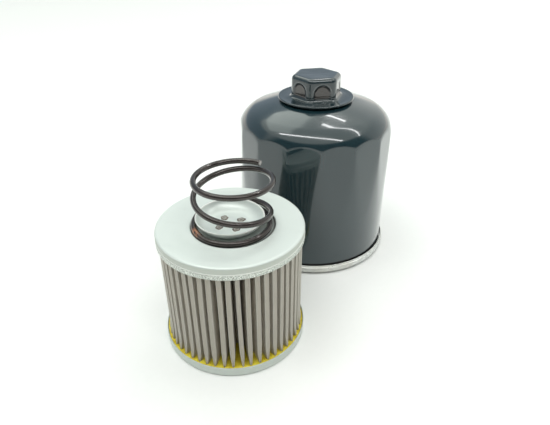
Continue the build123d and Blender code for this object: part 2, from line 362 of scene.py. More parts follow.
def enamel(name, base, ridge_wear_and_highlight):
    """Gloss enamel over drawn steel: orange peel, dust, thin paint on the can's ridges, painted
    highlights on the hex panels' lips, painted dark brown reflection in the hex panels, painted shade in
    the seam gap.
    """
    f = Finish(name, Coat_Weight=1.0, Coat_Roughness=0.03, Coat_IOR=1.47, IOR=1.5)
    drift = f.noise(28, 3)
    tone = f.mix(drift, scaled(base, 0.85), scaled(base, 1.15))
    # thin paint on the can's flute ridges is wear; on the hex panels' lips the same lighter ridge colour
    # is a painted highlight
    edge = f.times(f.mark("ridge"), f.spread(f.noise(260, 4), 0.38, 0.62, 0.4, 1.0))
    tone = f.mix(f.times(edge, 0.75), tone, ridge_wear_and_highlight)
    # painted shade: near black, with less coat and more roughness, in the gap under the seam ring
    tone = f.mix(f.mark("shade"), tone, (0.002, 0.002, 0.002))
    # painted reflection: the dished hex panels are tinted dark brown, standing in for the dark
    # surroundings they reflect
    dish = f.times(f.mark("dish"), 0.8)
    tone = f.mix(dish, tone, (0.04, 0.026, 0.019))
    dust = f.spread(f.noise(2600, 2), 0.7, 0.78)
    f.colour(f.mix(f.times(dust, 0.1), tone, (0.5, 0.5, 0.48)))
    smear = f.spread(f.noise(90, 4), 0.3, 0.7, 0.1, 0.22)
    f.rough(f.maths("ADD", smear, f.times(f.mark("shade"), 0.5)))
    f.feed(f.shader.inputs["Coat Weight"], f.maths("SUBTRACT", 1.0, f.mark("shade")))
    f.bump(f.noise(420, 2), 0.07, 0.03)
    f.bump(f.noise(60, 2), 0.1, 0.06)
    return f.material


def plate_finish(name, base, roughness):
    """Pale passivated sheet: soft sheen, rolling grain, rub marks, painted shade on the skirt, a painted
    highlight line, a painted shadow in the recess.
    """
    f = Finish(name, Metallic=0.28)
    cloud = f.noise(45, 4)
    tone = f.mix(cloud, scaled(base, 0.95), scaled(base, 1.03))
    smear = f.spread(f.noise(110, 5, 0.6, (1, 0.35, 1)), 0.56, 0.72)
    tone = f.mix(f.times(smear, 0.16), tone, scaled(base, 0.78))
    # painted shade: the upright skirt is painted darker than the flat top
    tone = f.mix(f.mark("skirt"), tone, (0.5, 0.535, 0.485))
    # painted highlight: a pale line along the skirt's step and round the cup's lip
    tone = f.mix(f.mark("bright"), tone, (0.92, 0.94, 0.9))
    # painted shadow: a dark ring in the recess beside its wall, round the spring's foot
    tone = f.mix(f.times(f.mark("painted_recess_shadow"), 0.9), tone, (0.04, 0.038, 0.034))
    speck = f.spread(f.noise(1900, 2), 0.71, 0.77)
    f.colour(f.mix(f.times(speck, 0.35), tone, (0.3, 0.31, 0.29)))
    f.rough(f.spread(cloud, 0.3, 0.7, roughness - 0.06, roughness + 0.08))
    f.bump(f.noise(900, 2, 0.5, (1, 0.06, 1)), 0.1, 0.02)
    f.bump(f.noise(1500, 2), 0.06, 0.02)
    return f.material


def rough_bead(name, base):
    """The crimped, sealed lower band of a cap's skirt: bright broken glints in a chalky surface."""
    f = Finish(name, Metallic=0.45)
    grit = f.noise(2900, 3, 0.7)
    f.colour(f.mix(f.spread(grit, 0.38, 0.62), scaled(base, 0.5), scaled(base, 1.45)))
    f.rough(f.spread(f.noise(1400, 2), 0.35, 0.65, 0.22, 0.55))
    f.bump(grit, 0.7, 0.25)
    return f.material


def zinc(name, base, roughness=0.3):
    """Galvanised sheet: faint spangle, warm and cool patches, fine scratches round the roll."""
    f = Finish(name, Metallic=0.85)
    spangle = f.cells(320, out="Color")
    grey = f.node("ShaderNodeRGBToBW", Color=spangle).outputs[0]
    tone = f.mix(grey, scaled(base, 0.86), scaled(base, 1.08))
    warm = f.spread(f.noise(35, 3), 0.45, 0.65)
    f.colour(f.mix(f.times(warm, 0.35), tone, (0.62, 0.58, 0.5)))
    f.rough(f.spread(f.noise(150, 4), 0.3, 0.7, roughness - 0.08, roughness + 0.12))
    f.bump(f.noise(1200, 2, 0.5, (1, 1, 6)), 0.12, 0.02)
    return f.material


WEAVE_MM = 0.22


def wire_cloth(name):
    """Stainless twill: crossing wires, drawn streaks, pleat flanks kept lighter than the fronts as
    painted light, and painted highlights along the creases.
    """
    f = Finish(name, Metallic=0.2)
    base = (0.69, 0.645, 0.565)
    split = f.node("ShaderNodeSeparateXYZ", Vector=f.place(surface=True))
    warp = f.maths("SINE", f.times(split.outputs["X"], TURN / WEAVE_MM))
    weft = f.maths("SINE", f.times(split.outputs["Y"], TURN / WEAVE_MM))
    cloth = f.times(warp, weft)
    streak = f.noise(1.1, 4, 0.6, (1.6, 0.1, 1), True)
    tone = f.mix(f.spread(streak, 0.3, 0.7), scaled(base, 0.8), scaled(base, 1.18))
    patch = f.spread(f.noise(70, 4), 0.42, 0.68)
    tone = f.mix(f.times(patch, 0.3), tone, (0.5, 0.42, 0.345))
    tip = f.mark("tip")
    # painted light: the fronts are set darker than the base colour kept on the flanks, lifting the
    # shaded flanks
    tone = f.mix(f.spread(tip, 0.1, 0.45), tone, (0.425, 0.395, 0.338))
    # painted highlight along the creases at each pleat's edges
    tone = f.mix(f.spread(tip, 0.6, 1.0, 0.0, 0.8), tone, (0.66, 0.645, 0.59))
    f.colour(f.mix(f.spread(cloth, -0.8, 0.9, 0.0, 0.2), tone, (0.2, 0.18, 0.155)))
    f.rough(f.spread(streak, 0.3, 0.7, 0.38, 0.58))
    f.bump(cloth, 0.35, 0.06)
    f.bump(streak, 0.25, 0.25)
    return f.material


def sealant(name):
    """Cured yellow resin: glossy, slightly translucent, with bubbles and darker thin spots."""
    f = Finish(name, Subsurface_Weight=0.15, Coat_Weight=0.4, Coat_Roughness=0.2)
    f.shader.inputs["Subsurface Radius"].default_value = (0.0015, 0.001, 0.0003)
    lump = f.noise(420, 4)
    tone = f.mix(f.spread(lump, 0.32, 0.66), (0.72, 0.56, 0.035), (0.98, 0.83, 0.085))
    f.colour(f.mix(f.spread(f.cells(900), 0.0, 0.25, 0.22, 0.0), tone, (0.26, 0.18, 0.03)))
    f.rough(f.spread(lump, 0.3, 0.7, 0.25, 0.5))
    f.bump(f.noise(1100, 3), 0.4, 0.15)
    return f.material


def spring_wire(name):
    """Oil-tempered wire: glossy brown-black scale, drawing lines, rubbed patches, one rust fleck."""
    f = Finish(name, Metallic=0.5, Coat_Weight=0.7, Coat_Roughness=0.08)
    scale = f.noise(190, 5, 0.6)
    tone = f.mix(scale, (0.017, 0.0125, 0.011), (0.05, 0.038, 0.033))
    rubbed = f.spread(f.noise(0.9, 4, 0.6, (0.35, 2.2, 1), True), 0.56, 0.74)
    tone = f.mix(f.times(rubbed, 0.22), tone, (0.17, 0.155, 0.145))
    rust = f.times(f.mark("rust"), f.spread(f.noise(700, 4), 0.3, 0.52))
    tone = f.mix(rust, tone, (0.42, 0.175, 0.085))
    f.colour(f.mix(f.mark("cut"), tone, (0.33, 0.32, 0.31)))
    f.rough(f.spread(scale, 0.3, 0.7, 0.15, 0.27))
    f.bump(f.noise(3.0, 3, 0.6, (0.06, 3.0, 1), True), 0.09, 0.04)
    f.bump(f.noise(900, 3), 0.06, 0.03)
    return f.material


def weld_tint(name):
    """Spot-weld scars: pale crater rim in dark, gritty scale."""
    f = Finish(name, Metallic=0.6)
    crater = f.times(f.mark("ring"), 0.8)
    grit = f.noise(1500, 4)
    tone = f.mix(f.spread(grit, 0.35, 0.65), (0.06, 0.05, 0.045), (0.26, 0.225, 0.19))
    f.colour(f.mix(crater, tone, (0.5, 0.49, 0.45)))
    f.rough(f.spread(grit, 0.3, 0.7, 0.3, 0.6))
    f.bump(grit, 0.5, 0.15)
    return f.material


def rubber(name, base, roughness):
    """Moulded nitrile: matt skin, bloom and fine pores."""
    f = Finish(name, IOR=1.5)
    bloom = f.spread(f.noise(120, 5), 0.45, 0.75)
    f.colour(f.mix(f.times(bloom, 0.5), base, (0.085, 0.082, 0.078)))
    f.rough(f.spread(f.noise(260, 3), 0.3, 0.7, roughness - 0.1, roughness + 0.12))
    f.bump(f.noise(2400, 2), 0.3, 0.03)
    return f.material


def bare_steel(name, base, roughness):
    """Stamped steel: oil film, light scratches and tool marks."""
    f = Finish(name, Metallic=0.9)
    film = f.noise(60, 4)
    tone = f.mix(film, scaled(base, 0.82), scaled(base, 1.1))
    scratch = f.spread(f.noise(700, 3, 0.6, (0.08, 1, 1)), 0.6, 0.72)
    f.colour(f.mix(f.times(scratch, 0.3), tone, (0.8, 0.8, 0.79)))
    f.rough(f.spread(film, 0.3, 0.7, roughness - 0.08, roughness + 0.12))
    f.bump(f.noise(900, 3, 0.6, (0.1, 1, 1)), 0.2, 0.03)
    return f.material


def paper(name):
    """Matt white studio sheet."""
    f = Finish(name, Specular_IOR_Level=0.15)
    grain = f.noise(300, 3)
    f.colour(f.mix(grain, (0.92, 0.93, 0.915), (0.95, 0.955, 0.945)))
    f.rough(f.spread(grain, 0.3, 0.7, 0.7, 0.9))
    f.bump(grain, 0.03, 0.05)
    return f.material


PALE = (0.7, 0.755, 0.722)
CAN_PAINT = enamel("can_enamel", (0.01, 0.029, 0.036), (0.1, 0.105, 0.105))
# the hex's light ridge colour is the painted highlight on its panels' lips
HEX_PAINT = enamel("hex_enamel", (0.01, 0.025, 0.031), (0.17, 0.18, 0.18))
CAP_PLATE = plate_finish("cap_plate_finish", PALE, 0.46)
CUP_PLATE = plate_finish("cup_plate_finish", PALE, 0.4)
# the bead's colour is darker than the cap top's as painted shade, like the skirt
CAP_BEAD = rough_bead("cap_bead_finish", (0.6, 0.635, 0.585))
# painted shade: the lower cap gets a darker copy of the pale plate, standing in for the shade on its
# upright sides
SHADED_LOW_PLATE = plate_finish("low_cap_painted_shade", (0.57, 0.62, 0.575), 0.4)
ZINC = zinc("seam_zinc", (0.7, 0.72, 0.7))
CLOTH = wire_cloth("stainless_cloth")
RESIN = sealant("yellow_resin")
WIRE = spring_wire("dark_spring_wire")
WELD = weld_tint("weld_scar")
GASKET_RUBBER = rubber("gasket_nitrile", (0.02, 0.02, 0.022), 0.5)
VALVE_RUBBER = rubber("valve_nitrile", (0.024, 0.02, 0.018), 0.58)
PLATE_STEEL = zinc("base_plate_zinc", (0.62, 0.64, 0.63), 0.38)
TUBE_STEEL = bare_steel("tube_tinplate", (0.55, 0.56, 0.55), 0.4)
VALVE_STEEL = bare_steel("valve_steel_finish", (0.5, 0.5, 0.49), 0.35)


def finished(thing, body, slot, materials, *nodes):
    """Gives a piece its materials and body, and hides the CAD nodes that it stands for; slot is not
    used.
    """
    for material in materials if isinstance(materials, (list, tuple)) else [materials]:
        thing.data.materials.append(material)
    if nodes:
        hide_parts(*nodes)
    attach(thing, body)
    return thing


# ---- Can unit

FLUTES = 15
FLUTE_PHASE = radians(4.0)
FLUTE_HIGH = 80.0
FLUTE_FADE = 42.0
FLUTE_CUT = 1.3
FLUTE_ROUNDING = 0.5
# Heights over which the painted shade in the gap under the seam ring fades out
GAP_SHADE_LOW = 6.5
GAP_SHADE_HIGH = 7.0
SHOULDER_START = 77.3
SHOULDER_RADIUS = 15.1
SHOULDER_TURN = radians(70)
CAN_SHEET = 0.7


def can_outline(inset):
    """Wall, shoulder arc, domed end and flat crown of the can, drawn inwards by inset, foot to crown."""
    wall = SHELL["radius"] - inset
    centre_r = SHELL["radius"] - SHOULDER_RADIUS
    bend = SHOULDER_RADIUS - inset
    dome_z = SHOULDER_START - centre_r * tan(SHOULDER_TURN)
    dome = centre_r / cos(SHOULDER_TURN) + bend
    crown = SHELL["top"] - inset
    crown_r = sqrt(dome**2 - (crown - dome_z) ** 2)
    points = [(wall, z) for z in (SHELL["bottom"], 4.0, 6.0, 6.4, 6.7, 7.0)]
    points += [(wall, z) for z in np.linspace(8.5, 66, 34)]
    points += [(wall, z) for z in np.linspace(66.6, SHOULDER_START, 22)]
    for t in np.linspace(0, SHOULDER_TURN, 46)[1:]:
        points.append((centre_r + bend * cos(t), SHOULDER_START + bend * sin(t)))
    for r in np.linspace(points[-1][0], crown_r, 16)[1:]:
        points.append((r, dome_z + sqrt(dome**2 - r * r)))
    points += [(crown_r * k, crown) for k in (0.8, 0.4, 0)]
    return np.array(points)


def make_can_shell():
    outer = can_outline(0)
    inner = can_outline(CAN_SHEET)[::-1]
    outline = np.vstack([inner, outer])
    inside = np.arange(len(outline)) < len(inner)

    def flats(radius, height, angle):
        """Draws the wall in to its flats, softly rounded where a flat meets the round."""
        step = TURN / FLUTES
        off = (angle - FLUTE_PHASE + step / 2) % step - step / 2
        inset = np.where(inside, CAN_SHEET, 0.0)[:, None]
        depth = FLUTE_CUT * (height - FLUTE_FADE) / (FLUTE_HIGH - FLUTE_FADE)
        flat = (SHELL["radius"] - depth - inset) / np.cos(off)
        flat = np.where((height > FLUTE_FADE - 4) & (radius > 30), flat, 999.0)
        drawn = soft_min(radius, flat, FLUTE_ROUNDING)
        corner = np.exp(-(((np.abs(off) - step / 2) / 0.012) ** 2)) * (flat < radius - 0.05)
        ridge = 0.25 * corner * soft_step(height, 64, 79)
        # painted shade: the wall is painted near black in the gap beside the seam ring
        painted_gap_shade = 1 - soft_step(height, GAP_SHADE_LOW, GAP_SHADE_HIGH)
        return drawn, height, {"ridge": ridge, "shade": painted_gap_shade}

    shell = lathe("can_shell_skin", CAN_X, outline, False, FLUTES * 32, flats)
    return finished(shell, "can", "can_paint", CAN_PAINT, "can_shell")


HEX_FLATS = 27.0
HEX_CORNER = 4.5
HEX_PHASE = radians(8.3)
HEX_WALL = 1.6
FLANGE_THICK = 1.2
PANEL_WIDTH = 11.2
PANEL_HEIGHT = 9.9
PANEL_DEPTH = 0.5
HEX_FOOT = 1.8
HEX_EDGE = 2.6
HEX_TOP_DISH = 0.22
FLANGE_SAG = 0.18


def hexagon_radius(angle, grow):
    """Distance from the axis to a hexagon with rounded corners, grown outwards by grow."""
    apothem = HEX_FLATS / 2 + grow
    corner = max(HEX_CORNER + grow, 0.3)
    off = (angle - HEX_PHASE) % (TURN / 6) - TURN / 12
    side = apothem / np.cos(off)
    reach = (apothem - corner) / cos(TURN / 12)
    beta = TURN / 12 - np.abs(off)
    arc = reach * np.cos(beta) + np.sqrt(np.clip(corner**2 - (reach * np.sin(beta)) ** 2, 0, None))
    turning = atan(tan(TURN / 12) * (apothem - corner) / apothem)
    return np.where(np.abs(off) < turning, side, arc)


def make_hex_cap():
    """Hexagon, foot fillet, flange and hollow underside as one skin, followed from the top's centre.

    Each row is a radius, a height and whether the arched panels may dish it.
    """
    columns = 6 * 60
    angle = np.arange(columns) * TURN / columns
    top, bottom = HEX["top"], HEX["bottom"]
    deck = bottom + FLANGE_THICK
    rows = []
    edge = hexagon_radius(angle, -HEX_EDGE)
    for share in np.linspace(0, 1, 12):
        rows.append((edge * share, top - HEX_TOP_DISH * (1 - share**2) ** 2, 0))
    for t in np.linspace(0, pi / 2, 9)[1:]:
        inset = HEX_EDGE * (1 - sin(t))
        rows.append((hexagon_radius(angle, -inset), top - HEX_EDGE * (1 - cos(t)), 0))
    for z in np.linspace(top - HEX_EDGE, deck + HEX_FOOT, 40)[1:]:
        rows.append((hexagon_radius(angle, 0), z, 1))
    for t in np.linspace(0, pi / 2, 7)[1:]:
        spread_out = HEX_FOOT * (1 - cos(t))
        rows.append((hexagon_radius(angle, spread_out), deck + HEX_FOOT * (1 - sin(t)), 0))
    foot = hexagon_radius(angle, HEX_FOOT)
    rim = HEX["radius"] - FLANGE_THICK / 2
    for share in np.linspace(0, 1, 12)[1:]:
        sag = FLANGE_SAG * sin(pi * share)
        rows.append((foot + (rim - foot) * share, deck - sag, 0))
    half = FLANGE_THICK / 2
    for t in np.linspace(0, pi, 11)[1:]:
        rows.append((rim + half * sin(t), bottom + half + half * cos(t), 0))
    hollow = hexagon_radius(angle, -HEX_WALL)
    roof = top - HEX_WALL
    rows += [(hollow + 0.6, bottom, 0), (hollow, bottom + 0.5, 0), (hollow, roof - 1.0, 0)]
    rows += [(hollow - 1.0, roof, 0), (hollow * 0, roof, 0)]
    radius = np.array([np.broadcast_to(r, columns) for r, _, _ in rows])
    height = np.array([np.full(columns, z) for _, z, _ in rows])
    flat_rows = np.array([p for _, _, p in rows])[:, None]
    off = (angle - HEX_PHASE) % (TURN / 6) - TURN / 12
    across = radius * np.sin(off)
    shoulder = deck + PANEL_HEIGHT - PANEL_WIDTH / 2
    outside = np.hypot(across, np.clip(height - shoulder, 0, None)) - PANEL_WIDTH / 2
    sunk = (1 - soft_step(outside, -1.9, 0.1)) * flat_rows
    sunk *= soft_step(height, deck + 0.6, deck + 2.4)
    radius = radius - PANEL_DEPTH * sunk / np.cos(off)
    # painted highlight: lip marks the panels' outlines, which the enamel paints lighter through its
    # ridge mark
    lip = np.exp(-(((outside - 0.1) / 0.34) ** 2)) * flat_rows
    lip *= soft_step(height, deck + 1.5, deck + 4)
    grid = np.stack([CAN_X + radius * np.cos(angle), radius * np.sin(angle), height], 2)
    section = np.stack([radius[:, 0], height[:, 0]], 1)
    along = np.arange(columns + 1) / columns * TURN * HEX_FLATS / 2
    # the dish mark carries the painted dark brown reflection in the arched panels
    marks = {"ridge": lip, "dish": sunk}
    hexagon = skin("hex_cap_skin", grid, along, lengths(section, False), False, True, marks)
    return finished(clean(hexagon, 50), "can", "hex_paint", HEX_PAINT, "hex_cap")


RING_GAP = 0.72


def make_seam_ring():
    """Rolled seam: gap beside the wall, bead, groove and band, web under the plate, gasket's lips."""
    outer, bottom, top = RING["radius"], RING["bottom"], PLATE["bottom"]
    wall = SHELL["radius"] + 0.06
    inside = SHELL["radius"] - CAN_SHEET - 0.06
    web = top - 0.8
    out_lip, in_lip = GASKET["radius"] + 0.1, 30.7
    corners = [
        (wall + RING_GAP, 3.6, 0.1), (wall + RING_GAP, 5.75, 0.1), (wall + 0.92, 5.95, 0.15),
        (wall + 1.22, 5.8, 0.15), (wall + 1.22, 5.3, 0.15), (wall + 1.02, 5.08, 0.1),
        (wall + 1.05, 4.86, 0.1), (outer - 0.25, 4.55, 0.3), (outer, 3.6, 0.7), (outer, 2.3, 0.4),
        (outer - 0.35, 1.95, 0.15), (outer - 0.45, bottom, 0.25), (inside - 0.8, bottom, 0.4),
        (inside - 0.8, web, 0.3), (out_lip + 0.7, web, 0.15), (out_lip + 0.7, 2.4, 0.3),
        (out_lip, 2.4, 0.3), (out_lip, web, 0.05), (in_lip, web, 0.05), (in_lip, 2.8, 0.3),
        (in_lip - 0.7, 2.8, 0.3), (in_lip - 0.8, top, 0.1), (inside, top, 0.1),
        (inside, bottom + 0.8, 0.1), (wall, bottom + 0.8, 0.1), (wall, 3.6, 0.1),
    ]
    outline = rounded([(r, min(z, RING["top"] + 0.05), b) for r, z, b in corners], True, 5)
    seam = lathe("seam_ring_skin", CAN_X, outline, True, 360)
    return finished(seam, "can", "galvanised", ZINC, "seam_ring")


PLATE_THICK = 3.0
HUB_RADIUS = 11.3
THREAD_PITCH = 1.5875
THREAD_DEPTH = 0.8
THREAD_RADIUS = 8.72
INLETS = 8
INLET_CIRCLE = 20.8
INLET_RADIUS = 3.2


def make_base_plate():
    """Thick plate and drawn hub with a cut thread, drilled with its ring of inlets."""
    bottom, top, edge, hub = PLATE["bottom"], PLATE["top"], PLATE["radius"], HUB_RADIUS
    deck = bottom + PLATE_THICK
    bore = [(THREAD_RADIUS, z) for z in np.linspace(top - 0.6, bottom + 0.6, 60)]
    corners = [
        (THREAD_RADIUS + 0.6, bottom, 0), (edge, bottom, 0.2), (edge, deck, 0.4), (hub, deck, 0.8),
        (hub, top, 0.8), (THREAD_RADIUS + 0.6, top, 0),
    ]
    outline = np.vstack([rounded(corners), bore])

    def threaded(radius, height, angle):
        wave = (height / THREAD_PITCH - angle / TURN) % 1.0
        groove = THREAD_DEPTH * (1 - np.abs(2 * wave - 1)) ** 0.9
        return radius + np.where(radius < THREAD_RADIUS + 0.01, groove, 0), height, None

    plate = lathe("base_plate_skin", CAN_X, outline, True, 200, threaded)
    cutters = [
        rod(CAN_X, INLET_CIRCLE, k * TURN / INLETS, INLET_RADIUS, bottom - 2, deck + 2)
        for k in range(INLETS)
    ]
    return finished(carved(plate, cutters), "can", "base_steel", PLATE_STEEL, "base_plate")


GASKET_BORE = 30.8


def make_gasket():
    """Square-cut nitrile ring with softened edges and a fine moulding line on its face."""
    inner, outer = GASKET_BORE, GASKET["radius"]
    low, high = GASKET["bottom"], GASKET["top"]
    middle = (inner + outer) / 2
    corners = [
        (inner, low, 0.55), (middle - 0.3, low, 0.1), (middle, low + 0.12, 0.1),
        (middle + 0.3, low, 0.1), (outer, low, 0.55), (outer, high, 0.4), (inner, high, 0.4),
    ]
    seal = lathe("gasket_skin", CAN_X, rounded(corners, True, 5), True, 240)
    return finished(seal, "can", "gasket_rubber", GASKET_RUBBER, "gasket")


# ---- Element unit

RECESS_RADIUS = 20.2
RECESS_SHIFT = 1.4
RECESS_BEARING = radians(-75)
RECESS_DEPTH = 1.0
CAP_SHEET = 0.5
SKIRT_INSET = 0.12
BEAD_HEIGHT = 2.4
BEAD_GRIT = 0.1


def banded(thing, low, high, radius):
    """Puts the second material on the faces of the skirt band between two heights."""
    for face in thing.data.polygons:
        centre = face.center / MM
        reach = hypot(centre.x - ELEMENT_X, centre.y)
        if low < centre.z < high and reach > radius:
            face.material_index = 1
    return thing


def make_upper_cap():
    """Pressed cap: shallow recess, rounded rim, plain skirt, then the stepped and rough bead."""
    edge, top, end = UPPER["radius"], UPPER["top"], UPPER["bottom"]
    skirt, step = edge - SKIRT_INSET, end + BEAD_HEIGHT
    floor = top - RECESS_DEPTH
    under = floor - CAP_SHEET
    corners = [
        (0, floor, 0), (RECESS_RADIUS - 0.3, floor, 0.3), (RECESS_RADIUS + 0.3, top, 0.5),
        (skirt, top, 1.15), (skirt - 0.05, step + 0.75, 0.1), (skirt - 0.2, step + 0.45, 0.1),
        (edge, step + 0.15, 0.15), (edge, end, 0.35),
        (edge - 0.6, end, 0.2), (edge - 0.6, step - 0.3, 0.2), (skirt - CAP_SHEET, step, 0.1),
        (skirt - CAP_SHEET, top - CAP_SHEET, 0.8), (RECESS_RADIUS + 1.1, top - CAP_SHEET, 0.8),
        (RECESS_RADIUS - 0.3, under, 0.8), (0, under, 0),
    ]
    outline = rounded(corners, False, 7, 0.45)

    def roughened(radius, height, angle):
        """Roughens the bead, warps the rim a little and sets the recess off centre."""
        grit = ripple(*radius.shape, 0, 0) + 0.5 * ripple(*radius.shape, 1, 1)
        band = (radius > skirt - 0.1) * soft_step(step - height, -0.25, 0.25)
        warp = 0.025 * np.sin(2 * angle + 0.6) * (radius > RECESS_RADIUS + 2)
        # painted shade: upright marks the skirt, which the finish paints darker than the top
        upright = soft_step(radius, skirt - 0.9, skirt - 0.15) * soft_step(top - height, 0.35, 0.9)
        centred = 1 - soft_step(radius, RECESS_RADIUS + 3, RECESS_RADIUS + 8)
        centred = centred * soft_step(radius, 0, RECESS_RADIUS)
        offset = RECESS_SHIFT * centred * np.cos(angle - RECESS_BEARING)
        # painted shadow on the recess floor beside its wall, where the spring's foot shades it
        painted_recess_shadow = soft_step(radius, RECESS_RADIUS - 1.8, RECESS_RADIUS - 0.6)
        painted_recess_shadow = painted_recess_shadow * soft_step(top - height, 0.2, 0.6) * (radius < RECESS_RADIUS + 2)
        return radius + BEAD_GRIT * (grit - 1) * band + offset, height + warp - 0.03, {
            "painted_recess_shadow": painted_recess_shadow,
            "skirt": upright,
            # painted highlight along the skirt's step
            "bright": upright * np.exp(-(((height - step - 0.45) / 0.22) ** 2)),
        }

    cap = lathe("upper_cap_skin", ELEMENT_X, outline, False, 720, roughened)
    finished(cap, "element", "cap_plate", [CAP_PLATE, CAP_BEAD], "upper_end_cap")
    return banded(cap, end - 1, step + 0.1, edge - 0.55)


PORTS = 8
PORT_CIRCLE = 15.9
PORT_RADIUS = 1.2
COLLAR = 13.7
COLLAR_TOP = 3.6


def make_lower_cap():
    """Pressed cap with rounded heel, outlet collar turned up, and the bypass ports."""
    edge, top = LOWER["radius"], LOWER["top"]
    corners = [
        (COLLAR - CAP_SHEET, COLLAR_TOP, 0.15), (COLLAR - CAP_SHEET, 0, 0.6), (edge - 0.06, 0, 1.2),
        (edge - 0.06, top - 1.0, 0.4), (edge, top - 0.7, 0.3), (edge, top, 0.22),
        (edge - CAP_SHEET, top, 0.22), (edge - CAP_SHEET - 0.1, CAP_SHEET, 0.7),
        (COLLAR, CAP_SHEET, 0.3), (COLLAR, COLLAR_TOP, 0.15),
    ]
    cap = lathe("lower_cap_skin", ELEMENT_X, rounded(corners, True, 6, 1.5), True, 360)
    cutters = [
        rod(ELEMENT_X, PORT_CIRCLE, k * TURN / PORTS, PORT_RADIUS, -2, 2.5, 24) for k in range(PORTS)
    ]
    return finished(carved(cap, cutters), "element", "cap_plate", SHADED_LOW_PLATE, "lower_end_cap")


CUP_CURVE = 7.2
CUP_FLOOR = 9.8
CUP_SHEET = 0.6
CUP_RIM_ANGLE = radians(-20)


def make_cup():
    """Saucer with a large inner curve and a rounded lip."""
    floor = CUP["bottom"]
    centre = np.array([CUP_FLOOR, floor + CUP_CURVE])

    def curve(radius, stops):
        return [centre + radius * toward(t) for t in stops]

    sweep = np.linspace(-pi / 2, CUP_RIM_ANGLE, 26)
    lip_centre = curve(CUP_CURVE - CUP_SHEET / 2, [CUP_RIM_ANGLE])[0]
    half_turn = np.linspace(0, pi, 8)[1:-1]
    lip = [lip_centre + CUP_SHEET / 2 * toward(CUP_RIM_ANGLE + t) for t in half_turn]
    under = [np.array([CUP_FLOOR * k, floor]) for k in (0, 0.5)]
    inside = [np.array([CUP_FLOOR * k, floor + CUP_SHEET]) for k in (0.8, 0.6, 0.4, 0.2, 0)]
    outline = under + curve(CUP_CURVE, sweep) + lip + curve(CUP_CURVE - CUP_SHEET, sweep[::-1]) + inside

    def lipped(radius, height, angle):
        """Paints a highlight along the lip."""
        return radius, height, {"bright": soft_step(height, CUP["top"] - 0.42, CUP["top"] - 0.22)}

    cup = lathe("spring_cup_skin", ELEMENT_X, np.array(outline), False, 240, lipped)
    return finished(cup, "element", "cup_plate", CUP_PLATE, "spring_cup")


WELD_COUNT = 4
WELD_CIRCLE = 5.95
WELD_PHASE = 60


def make_cup_welds():
    """Four spot-weld scars in the saucer: a raised, uneven ring round a shallow crater."""
    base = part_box("cup_spot_welds")[0].z / MM
    outline = np.array([
        (0, 0.02), (0.5, 0.02), (0.9, 0.06), (1.2, 0.17), (1.5, 0.2), (1.8, 0.15), (2.05, 0.03),
        (2.1, -0.02), (0, -0.02),
    ])
    scars = []
    for k in range(WELD_COUNT):
        angle = radians(WELD_PHASE + 360 / WELD_COUNT * k)

        def uneven(radius, height, around):
            wobble = 0.95 * (1 + 0.1 * np.sin(2 * around + k) + 0.07 * np.sin(5 * around + 2 * k))
            lumps = np.where(height > 0.01, 0.045 * ripple(*radius.shape, 1, 3), 0)
            ring = np.exp(-(((radius - 1.0) / 0.35) ** 2))
            return radius * wobble, height + lumps, {"ring": ring}

        scar = lathe("weld_scar", 0, outline, False, 48, uneven)
        scars.append(onto_circle(scar, ELEMENT_X, WELD_CIRCLE, angle, base))
    with bpy.context.temp_override(active_object=scars[0], selected_editable_objects=scars):
        bpy.ops.object.join()
    scars[0].name = "cup_weld_scars"
    return finished(scars[0], "element", "weld_tint", WELD, "cup_spot_welds")


PLEAT_COUNT = 50
PLEAT_ROOT = 19.4
PLEAT_HALF = 1.2
FOOT_SPLAY = 0.45
PLEAT_CORNER = 0.5
PLEAT_ROOT_HALF = 0.95
CLOTH_THICK = 0.36
TIP_POINTS = 5
PINCH_HEIGHT = 9.5
BENT_PLEAT = 30
BENT_FAULTS = {"lean": -0.022, "bow": -0.006, "width": -0.16, "place": 0.002}


def pleat_faults():
    """Small seeded faults of each pleat: place, lean, bow, width and depth."""
    faults = {
        "place": rng.normal(0, 0.005, PLEAT_COUNT),
        "lean": rng.normal(0, 0.006, PLEAT_COUNT),
        "bow": rng.normal(0, 0.005, PLEAT_COUNT),
        "width": rng.normal(0, 0.035, PLEAT_COUNT),
        "depth": rng.uniform(-0.22, 0.0, PLEAT_COUNT),
    }
    for key, value in BENT_FAULTS.items():
        faults[key][BENT_PLEAT] = value
    return faults


